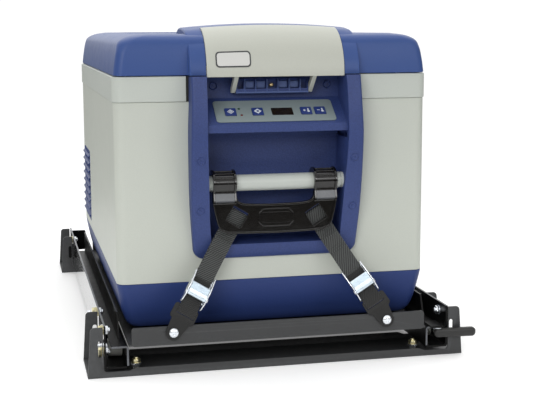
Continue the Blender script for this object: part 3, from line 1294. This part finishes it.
def slope_frame():
    """Columns: across, up the shelf's slope, out of it. Origin at its front edge."""
    place = Matrix(((1, 0, 0), (0, cos(SLOPE), -sin(SLOPE)), (0, sin(SLOPE), cos(SLOPE))))
    place = place.to_4x4()
    place.translation = (0, SHELF_FRONT, SLOPE_START)
    return place


BUTTONS = {"button_power": -0.0718, "button_mode": -0.0281,
           "button_warmer": 0.0509, "button_colder": 0.0739}
BUTTON_HALF, PANEL_MIDDLE, BUTTON_FACE = 0.0090, 0.0300, 0.0028


def diamond(x, half):
    middle = PANEL_MIDDLE
    return [(x + half, middle), (x, middle + half), (x - half, middle), (x, middle - half)]


def button_square(x, half):
    return rectangle((x - half, PANEL_MIDDLE - half), (x + half, PANEL_MIDDLE + half), 0.0016)


def icon(name, x):
    """Plain generic signs: on and off, settings, warmer and colder."""
    m = PANEL_MIDDLE
    place, low, high = slope_frame(), BUTTON_FACE - 0.0002, BUTTON_FACE + 0.0002

    def bar(x0, y0, x1, y1):
        return frame_prism([(x0, y0), (x1, y0), (x1, y1), (x0, y1)], place, low, high, "icon_white")

    def ring(outer, inner):
        levels = [[place @ Vector((a, b, h)) for a, b in line] for line, h in
                  ((outer, low), (outer, high), (inner, high), (inner, low))]
        return loft(levels, "icon_white", closed=True)
    if name == "button_power":
        return [ring(diamond(x, 0.0056), diamond(x, 0.0040)),
                bar(x - 0.0006, m - 0.0002, x + 0.0006, m + 0.0042),
                ring(arc((x, m), 0.0024, 0, 345, 23), arc((x, m), 0.0014, 0, 345, 23))]
    if name == "button_mode":
        return [frame_prism(diamond(x, 0.0062), place, low, high, "icon_white"),
                frame_prism(arc((x, m), 0.0020, 0, 340, 17), place, high - 0.0001,
                            high + 0.0002, "button_blue")]
    stem = bar(x + 0.0024, m - 0.0020, x + 0.0044, m + 0.0046)
    bulb = frame_prism(arc((x + 0.0034, m - 0.0024), 0.0022, 0, 340, 17), place, low,
                       high, "icon_white")
    signs = [bar(x - 0.0050, m - 0.0007, x - 0.0008, m + 0.0007)]
    if name == "button_warmer":
        signs += [bar(x - 0.0036, m - 0.0021, x - 0.0022, m - 0.0007),
                  bar(x - 0.0036, m + 0.0007, x - 0.0022, m + 0.0021)]
    return [stem, bulb] + signs


def controls():
    """Membrane panel with raised buttons, a display window and two indicator lenses."""
    place = slope_frame()
    outline = rectangle((-0.0968, 0.0060), (0.0968, 0.0585), 0.0055)
    panel = frame_prism(outline, place, 0.0003, 0.0015, "panel_grey")
    holes = [frame_prism(button_square(x, BUTTON_HALF + GAP), place, -0.002, 0.004)
             for x in BUTTONS.values()]
    glass_x, glass_half = 0.0119, (0.0172, 0.0088)
    glass = rectangle((glass_x - glass_half[0], PANEL_MIDDLE - glass_half[1]),
                      (glass_x + glass_half[0], PANEL_MIDDLE + glass_half[1]), 0.0012)
    holes.append(frame_prism(inset(glass, -GAP), place, -0.002, 0.004))
    bevel(cut(panel, *holes), 0.0003, 2)
    finish_piece("control_membrane", [panel], "tray", ["control_panel"])
    window = bevel(frame_prism(glass, place, 0.0003, 0.0018, "display"), 0.0004)
    finish_piece("display_glass", [window], "tray", ["display_window"])
    for name, x in BUTTONS.items():
        key = frame_prism(button_square(x, BUTTON_HALF), place, 0.0012, BUTTON_FACE, "button_blue")
        bevel(key, 0.0006)
        finish_piece(name + "_key", [key] + icon(name, x), name, [name])
    lights = (("light_running", -0.0574, 0.0078, "green_light"),
              ("light_fault", -0.0550, -0.0078, "red_light"))
    for name, x, up, look in lights:
        lens = turned([(0.0021, 0), (0.0021, 0.0005), (0.0015, 0.0010), (0.0005, 0.0012)],
                      place @ Vector((x, PANEL_MIDDLE + up, 0.0013)),
                      place.to_3x3() @ Vector((0, 0, 1)), look, 20)
        finish_piece(name, [lens], "tray")


def rear_handle_frame():
    """Proud frame round the rear grab bar, with its pocket."""
    low, high = BOX["rear_handle_frame"]
    item = block((-BLOCK_HALF, low.y, 0.1865), (BLOCK_HALF, 0.7050, 0.3895), "fascia_blue")
    outline = rectangle((low.x, low.z), (high.x, high.z), 0.015, 8)
    unite(item, prism(outline, "y", BODY_BACK + GAP, high.y))
    pocket = rectangle((-0.1123, 0.2050), (0.1123, 0.3750), 0.004)
    cut(item, prism(pocket, "y", low.y + 0.003, 0.75))
    bevel(item, 0.0025, 4)
    finish_piece("rear_handle_moulded", item, "tray", ["rear_handle_frame"])


def grab_bars():
    """Satin tubes that step down to a short collar at each end."""
    for node, y, radius in (("grab_bar_front", BAR_Y, BAR_RADIUS),
                            ("grab_bar_rear", REAR_BAR_Y, REAR_BAR_RADIUS)):
        half, step = BAR_HALF + 0.0030, 0.0008
        profile = [(radius - 0.0004, 0), (radius - 0.0004, 0.0050), (radius - step * 2, 0.0054),
                   (radius - step * 2, 0.0062), (radius - step, 0.0066), (radius, 0.0076)]
        profile += [(r, 2 * half - d) for r, d in reversed(profile)]
        tube = turned(profile, (-half, y, BAR_Z), (1, 0, 0), "bar_grey", 48)
        finish_piece(node + "_tube", tube, "tray", [node])


def power_inlet():
    """Rear plate with a round low-voltage socket, a mains inlet and their contacts."""
    low, high = BOX["power_inlet"]
    plate = prism(rectangle((low.x, low.z), (high.x, high.z), 0.003), "y", low.y, high.y,
                  "black_plastic")
    round_socket, mains = (0.181, 0.225), ((0.198, 0.2165), (0.218, 0.2335))
    socket_x, socket_z = round_socket
    cut(plate, rod(0.0085, 0.02, (socket_x, low.y + 0.002, socket_z), (0, 1, 0)),
        prism(rectangle(*mains, 0.003), "y", low.y + 0.002, high.y + 0.01))
    shapes = [bevel(plate, 0.0010)]
    contacts = [(socket_x - 0.003, socket_z), (socket_x + 0.003, socket_z), (0.2030, 0.2225),
                (0.2130, 0.2225), (0.2080, 0.2280)]
    for x, z in contacts:
        contact = block((x - 0.0008, low.y + 0.0018, z - 0.0018),
                        (x + 0.0008, low.y + 0.0065, z + 0.0018), "brass", 0.0004)
        shapes.append(contact)
    finish_piece("power_inlet_moulded", shapes, "tray", ["power_inlet"])


def liner():
    """White inner tub with rounded corners and a shallow rear step."""
    low, high = BOX["liner"]
    half, top, above = 0.2050, 0.4545, 0.48
    item = block((-half, 0.0470, low.z), (half, 0.5170, top), "liner_white")
    flange = rectangle((low.x, low.y), (high.x, high.y), 0.018, 8)
    unite(item, block((-half, 0.4000, 0.3440), (half, 0.6600, top)), prism(flange, "z", 0.4500, high.z))
    space = half - 0.0020
    deep = rectangle((-space, 0.0490), (space, 0.5150), 0.014, 6)
    step = rectangle((-space, 0.4500), (space, 0.6580), 0.014, 6)
    cut(item, prism(deep, "z", 0.0985, above), prism(step, "z", 0.3460, above))
    bevel(item, 0.0012, 3)
    finish_piece("liner_moulded", item, "tray", ["liner"])


# ---------------------------------------------------------------- lid

def lowered(x, y, z):
    """Lower a point of the housing by its crown, which fades out towards the lid's rim."""
    drop = HOUSING_DROP * (x / HOUSING_HALF) ** 2
    return (x, y, z - drop * max(z - LID_BOTTOM, 0) / HOUSING_RISE)


def housing_point(x, angle, lift):
    """A point on the housing's elliptical front, moved out along its normal."""
    a = radians(angle)
    normal = Vector((cos(a) / HOUSING_REACH, sin(a) / HOUSING_RISE)).normalized()
    y = HOUSING_CENTRE + HOUSING_REACH * cos(a) + normal.x * lift
    z = LID_BOTTOM + HOUSING_RISE * sin(a) + normal.y * lift
    return lowered(x, y, z)


def housing_arc(x, lift, start, end, steps=28):
    return [housing_point(x, start + (end - start) * i / steps, lift) for i in range(steps + 1)]


HOUSING_TOP = [(0.062, 0.5420), (0.082, 0.5430), (0.096, 0.5420), (0.108, 0.5385),
               (0.122, 0.5310), (0.136, 0.5250), (0.160, 0.5150)]


def housing_outline(x):
    """Front curve, crown, and a slope that runs down to the lid's top."""
    ys = [0.160 - 0.098 * i / 20 for i in range(21)]
    top = [(0.160, LID_BOTTOM)] + [(y, curve_through(HOUSING_TOP, y)) for y in ys]
    return [lowered(x, y, z) for y, z in top] + housing_arc(x, 0, 96, 180)


def latch_housing():
    """Loft across the lid, with its two ends rounded over."""
    middle = 0.075
    rings = []
    for x, drawn in eased_rows(HOUSING_HALF, 0.0030, 4, 9):
        scale = 1 - drawn / middle
        rings.append([(x, middle + (y - middle) * scale, LID_BOTTOM + (z - LID_BOTTOM) * scale)
                      for _, y, z in housing_outline(x)])
    return loft(rings)


# height, half width, front, back
LID_LEVELS = [(0.4630, 0.2534, -0.0090, 0.7065), (0.4800, 0.2514, -0.0082, 0.7065),
              (0.4970, 0.2486, -0.0062, 0.7055), (0.5080, 0.2462, -0.0042, 0.7030),
              (0.5145, 0.2436, -0.0024, 0.6990), (0.5195, 0.2370, 0.0014, 0.6920),
              (0.5238, 0.2260, 0.0086, 0.6820), (0.5265, 0.2080, 0.0240, 0.6700)]


def lid_space():
    return rectangle((-0.2420, 0.0040), (0.2420, 0.6940), 0.022, 8)


def lid_outer():
    """Rounded lid with a raised latch housing and a shallow panel in its top."""
    def level(z):
        return [curve_through([(row[0], row[k]) for row in LID_LEVELS], z) for k in (1, 2, 3)]
    rings = []
    edge = 0.0010
    half, front, back = level(LID_BOTTOM)
    rings.append(body_ring(half - edge, front + edge, back - edge, BODY_RADIUS, LID_BOTTOM, 12))
    heights = [LID_BOTTOM + edge, 0.480, 0.495, 0.500, 0.504, 0.508, 0.511, 0.514, 0.517, 0.519,
               0.521, 0.523, 0.5245, 0.5257, LID_SIDE_TOP]
    for z in heights:
        half, front, back = level(z)
        radius = BODY_RADIUS - 0.001 + 0.010 * max((z - 0.500) / (LID_SIDE_TOP - 0.500), 0)
        rings.append(body_ring(half, front, back, radius, z, 12))
    half, front, back = 0.2080, 0.1500, 0.6700
    for drawn, drop in ((0.020, 0.0), (0.0215, 0.0003), (0.0228, 0.0012), (0.024, 0.0015)):
        rings.append(body_ring(half - drawn, front + drawn, back - drawn, 0.020,
                               LID_SIDE_TOP - drop, 12))
    item = loft(rings, "lid_blue")
    unite(item, latch_housing())
    lugs = []
    for side in SIDES:
        lug = [(0.7040, 0.4685), (0.7040, LID_BOTTOM + 0.0002),
               (HINGE_Y - HINGE_LUG, LID_BOTTOM + 0.0002)]
        lug += arc((HINGE_Y, HINGE_Z), HINGE_LUG, 180, 450, 20)
        lugs.append(prism(lug, "x", *span(side, 0.1805, 0.2045)))
    unite(item, *lugs)
    seat_half = FLAP_HALF + 0.0008
    stations = [seat_half * i / 8 for i in range(-8, 9)]
    seat = [housing_arc(x, 0.0200, FLAP_TOP_ANGLE - 3, 190)
            + housing_arc(x, -0.0012, 190, FLAP_TOP_ANGLE - 3) for x in stations]
    cut(item, hinge_bore(), prism(lid_space(), "z", 0.40, LID_CAVITY_TOP), loft(seat),
        block((-seat_half, -0.05, 0.455), (seat_half, 0.0100, 0.4775)))
    finish_piece("lid_outer_moulded", item, "lid", ["lid_outer"], 30)


def lid_lining():
    """Inner lid panel with a raised plug, and the rubber seal round it."""
    outline = [(x, max(y, 0.0105)) for x, y in inset(lid_space(), 0.0004)]
    low, high = BOX["lid_inner"]
    panel = prism(outline, "z", LID_BOTTOM + 0.0006, high.z, "liner_white")
    plug = prism(rectangle((-0.1950, 0.0600), (0.1950, 0.6480), 0.016, 8), "z", low.z,
                 0.4660, "liner_white")
    unite(panel, bevel(plug, 0.0030, 4))
    finish_piece("lid_inner_moulded", panel, "lid", ["lid_inner"])
    rings = []
    bottom, top = SEAL_LAND + GAP, LID_BOTTOM + GAP
    for drawn, z in ((0.0015, bottom), (0.0, bottom + 0.0015), (0.0012, bottom + 0.0032),
                     (0.0, top), (0.010, top), (0.0088, bottom + 0.0032),
                     (0.010, bottom + 0.0015), (0.0085, bottom)):
        rings.append(body_ring(0.2200 - drawn, 0.0330 + drawn, 0.6730 - drawn, 0.012 - drawn * 0.8,
                               z, 8))
    finish_piece("lid_seal_bellows", loft(rings, "black_rubber", closed=True), "lid",
                 ["lid_seal"])


def latch_flap():
    """Satin flap with two slanting legs."""
    back = -0.0008
    rings = []
    for x, drawn in eased_rows(FLAP_HALF, 0.0010, 3, 8):
        outer = housing_arc(x, FLAP_FACE - drawn, FLAP_TOP_ANGLE, 182)
        rings.append(outer + housing_arc(x, back + min(drawn, 0.0005), 182, FLAP_TOP_ANGLE))
    shapes = [loft(rings, "flap_grey")]
    leg = rounded([(-0.0225, 0.4612), (-0.0225, 0.4665), (-0.0130, 0.4665), (0.0165, 0.4395),
                   (0.0165, 0.4335), (0.0095, 0.4335)], 0.0010, 3)
    for side in SIDES:
        shapes.append(bevel(prism(leg, "x", *span(side, 0.0595, 0.0665), "flap_grey"), 0.0008))
    finish_piece("latch_flap_moulded", shapes, "latch", ["latch_flap"])


def latch_grip():
    """Pull grip under the flap: a rail with seven cells, some filled with a pad, and a screw."""
    half, front, back, bottom, top = 0.0592, 0.0060, 0.0160, 0.4338, 0.4562
    low, high = bottom + 0.0060, top - 0.0038
    rail = rounded([(front, bottom), (back, bottom), (back, top), (0.0110, top),
                    (front, bottom + 0.0062)], 0.0010, 3)
    grip = prism(rail, "x", -half, half, "fascia_blue")
    cells = [(0.0, 0.0075), (0.0182, 0.0078), (0.0362, 0.0076), (0.0520, 0.0050)]
    cells += [(-x, wide) for x, wide in cells[1:]]
    windows = [prism(rectangle((x - wide, low), (x + wide, high), 0.0008), "y", -0.01, 0.0145)
               for x, wide in cells]
    shapes = [bevel(cut(grip, *windows), 0.0006, 2)]
    for x, wide in cells:
        left, right = x - wide, x + wide
        if 0.01 < abs(x) < 0.04:
            pad = rectangle((left + 0.0006, low + 0.0008), (right - 0.0006, high - 0.0006), 0.0010)
            shapes.append(bevel(prism(pad, "y", 0.0098, 0.0148, "grip_blue"), 0.0008))
        shapes.append(block((left - 0.0018, front - 0.0008, bottom + 0.0012),
                            (left - 0.0004, 0.0100, top - 0.0012), "grip_blue", 0.0005))
    shapes.append(button_head((0.0, 0.0142, 0.4452), (0, -1, 0), "brass", 0.0034, 0.0022))
    lip = rounded([(front - 0.0010, bottom - 0.0012), (back + 0.0004, bottom - 0.0012),
                   (back + 0.0004, bottom + 0.0018), (front - 0.0010, bottom + 0.0018)], 0.0010, 3)
    shapes.append(prism(lip, "x", 0.0002 - half, half - 0.0002, "grip_blue"))
    finish_piece("latch_grip_moulded", shapes, "latch", ["latch_grip"])


def wrapped(outline, low, high, look):
    """Bend a flat outline of (x, distance along the flap) round the flap's surface."""
    spread = []
    for (x0, s0), (x1, s1) in zip(outline, outline[1:] + outline[:1]):
        count = max(1, ceil(abs(s1 - s0) / 0.003))
        spread += [(x0 + (x1 - x0) * i / count, s0 + (s1 - s0) * i / count) for i in range(count)]

    def angle(s):
        return 180 - degrees(asin(min(s / HOUSING_RISE, 1.0)))
    rings = [[housing_point(x, angle(s), lift) for x, s in spread] for lift in (low, high)]
    return loft(rings, look)


def plaque():
    """A blank pale plate with a thin dark rim, curved with the flap."""
    low, high = (-0.0965, 0.0120), (-0.0405, 0.0365)
    rim, width = rectangle(low, high, 0.006), 0.0022
    inner = rectangle((low[0] + width, low[1] + width), (high[0] - width, high[1] - width), 0.0045)
    rim = wrapped(rim, FLAP_FACE - 0.0004, FLAP_FACE + 0.0006, "badge_rim")
    plate = wrapped(inner, FLAP_FACE, FLAP_FACE + 0.0010, "badge_pale")
    finish_piece("flap_plaque", [rim, plate], "latch")


# ---------------------------------------------------------------- carried-over CAD nodes

CARRIED = {
    "lever_pin": "slide_black", "hinge_rod": "zinc", "foam_insulation": "foam",
    "lid_foam": "foam", "evaporator_plate": "aluminium", "compressor": "gloss_black",
    "condenser_coil": "copper", "controller_board": "circuit_board",
    "fan_rotor": "black_plastic",
}
for corner in ("front_left", "front_right", "rear_left", "rear_right"):
    CARRIED["roller_" + corner] = "roller_white"
    CARRIED["roller_axle_" + corner] = "zinc"


def paint_carried():
    for node, look in CARRIED.items():
        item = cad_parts[node]
        item.data.materials.clear()
        item.data.materials.append(MATERIALS[look])


# ---------------------------------------------------------------- studio

CAMERA_TARGET = Vector((-0.0045, 0.0, 0.2693))
CAMERA_AZIMUTH, CAMERA_ELEVATION, CAMERA_ROLL = radians(-12.91), radians(8.27), radians(-0.23)
CAMERA_DISTANCE, CAMERA_LENS = 1.8663, 78.26
CAMERA_SHIFT, SENSOR_WIDTH = (-0.0083, -0.0097), 36.0
FLOOR_CENTRE, FLOOR_RADIUS = (0, 0.35, -0.0004), 1.35


def camera():
    """The camera at the photograph's viewing angle."""
    a, e, roll = CAMERA_AZIMUTH, CAMERA_ELEVATION, CAMERA_ROLL
    back = Vector((sin(a) * cos(e), -cos(a) * cos(e), sin(e)))
    right = (-back).cross(Vector((0, 0, 1))).normalized()
    up = right.cross(-back)
    columns = (right * cos(roll) + up * sin(roll), up * cos(roll) - right * sin(roll), back)
    data = bpy.data.cameras.new("camera")
    data.lens, data.sensor_width = CAMERA_LENS, SENSOR_WIDTH
    data.shift_x, data.shift_y = CAMERA_SHIFT
    data.clip_start, data.clip_end = 0.05, 100.0
    item = bpy.data.objects.new("camera", data)
    turn = Matrix(columns).transposed().to_4x4()
    item.matrix_world = Matrix.Translation(CAMERA_TARGET + back * CAMERA_DISTANCE) @ turn
    bpy.context.scene.collection.objects.link(item)
    bpy.context.scene.camera = item


def area_light(name, place, target, size, power, glossy_only=False):
    data = bpy.data.lights.new(name, "AREA")
    data.shape, data.size, data.size_y, data.energy = "RECTANGLE", size[0], size[1], power
    item = bpy.data.objects.new(name, data)
    item.location = place
    item.visible_diffuse = not glossy_only
    item.rotation_euler = (Vector(target) - Vector(place)).to_track_quat("-Z", "Y").to_euler()
    bpy.context.scene.collection.objects.link(item)


def world_light():
    """White behind the object for the camera; soft light from overhead and behind for the rest."""
    world = bpy.data.worlds.new("studio")
    world.use_nodes = True
    tree = world.node_tree
    background = tree.nodes["Background"]
    coords = tree.nodes.new("ShaderNodeTexCoord")
    axes = tree.nodes.new("ShaderNodeSeparateXYZ")
    tree.links.new(coords.outputs["Generated"], axes.inputs[0])
    levels = []
    for axis, start, end, low, high in (("Z", -0.05, 0.75, 0.06, 0.90), ("Y", 0.35, 0.95, 0.0, 1.0),
                                        ("Z", -0.02, 0.10, 0.0, 1.0)):
        level = tree.nodes.new("ShaderNodeMapRange")
        for key, value in (("From Min", start), ("From Max", end), ("To Min", low),
                           ("To Max", high)):
            level.inputs[key].default_value = value
        tree.links.new(axes.outputs[axis], level.inputs["Value"])
        levels.append(level.outputs[0])
    backdrop, total = (tree.nodes.new("ShaderNodeMath") for _ in range(2))
    backdrop.operation, total.operation = "MULTIPLY", "ADD"
    tree.links.new(levels[1], backdrop.inputs[0])
    tree.links.new(levels[2], backdrop.inputs[1])
    tree.links.new(levels[0], total.inputs[0])
    tree.links.new(backdrop.outputs[0], total.inputs[1])
    path = tree.nodes.new("ShaderNodeLightPath")
    chosen = tree.nodes.new("ShaderNodeMix")
    tree.links.new(path.outputs["Is Camera Ray"], chosen.inputs[0])
    tree.links.new(total.outputs[0], chosen.inputs[2])
    chosen.inputs[3].default_value = 1.05
    tree.links.new(chosen.outputs[0], background.inputs["Strength"])
    background.inputs["Color"].default_value = (1.0, 1.0, 1.0, 1.0)
    return world


def studio():
    """A pale floor in a white room, with soft light from the front left and above."""
    scene = bpy.context.scene
    scene.world = world_light()
    scene.view_settings.view_transform = "Standard"
    bm = bmesh.new()
    bmesh.ops.create_circle(bm, cap_ends=True, segments=64, radius=FLOOR_RADIUS)
    floor = add_object(bm, "floor")
    floor.name = "studio_floor"
    floor.location = FLOOR_CENTRE
    area_light("key", (-1.5, -2.3, 1.5), (0, 0.0, 0.25), (1.6, 1.2), 32)
    area_light("fill", (1.9, -1.9, 1.1), (0, 0.2, 0.25), (1.4, 1.4), 9)
    area_light("card", (0.62, -2.3, 1.12), (0.05, 0, 0.27), (0.9, 0.5), 9.0, True)
    area_light("top", (0, 0.4, 2.4), (0, 0.3, 0.3), (2.2, 2.2), 14)


def floor_look():
    look = Look("studio_floor", 0.6, Emission_Strength=0.20, Specular_IOR_Level=0.1)
    look.shader.inputs["Emission Color"].default_value = (1.0, 1.0, 1.0, 1.0)
    look.color(look.blend((0.92, 0.92, 0.92, 1), (0.95, 0.95, 0.95, 1), look.noise(3, 2)))
    return look.material


# ---------------------------------------------------------------- the whole object

def build():
    MATERIALS["floor"] = floor_look()
    paint_carried()
    cross_member("front_crossmember", BOX["front_crossmember"][0].y)
    cross_member("rear_crossmember", BOX["rear_crossmember"][0].y)
    tray_deck()
    lock_lever()
    for side in SIDES:
        outer_rail(side)
        inner_rail(side)
        vent_panel(side)
        anchor(side)
        buckle(side)
    yoke()
    for side in SIDES:
        webbing(side)
    base_tub()
    outer_shell()
    collar()
    fascia()
    fascia_details()
    controls()
    rear_handle_frame()
    grab_bars()
    power_inlet()
    liner()
    lid_outer()
    lid_lining()
    latch_flap()
    plaque()
    latch_grip()
    studio()
    camera()


build()
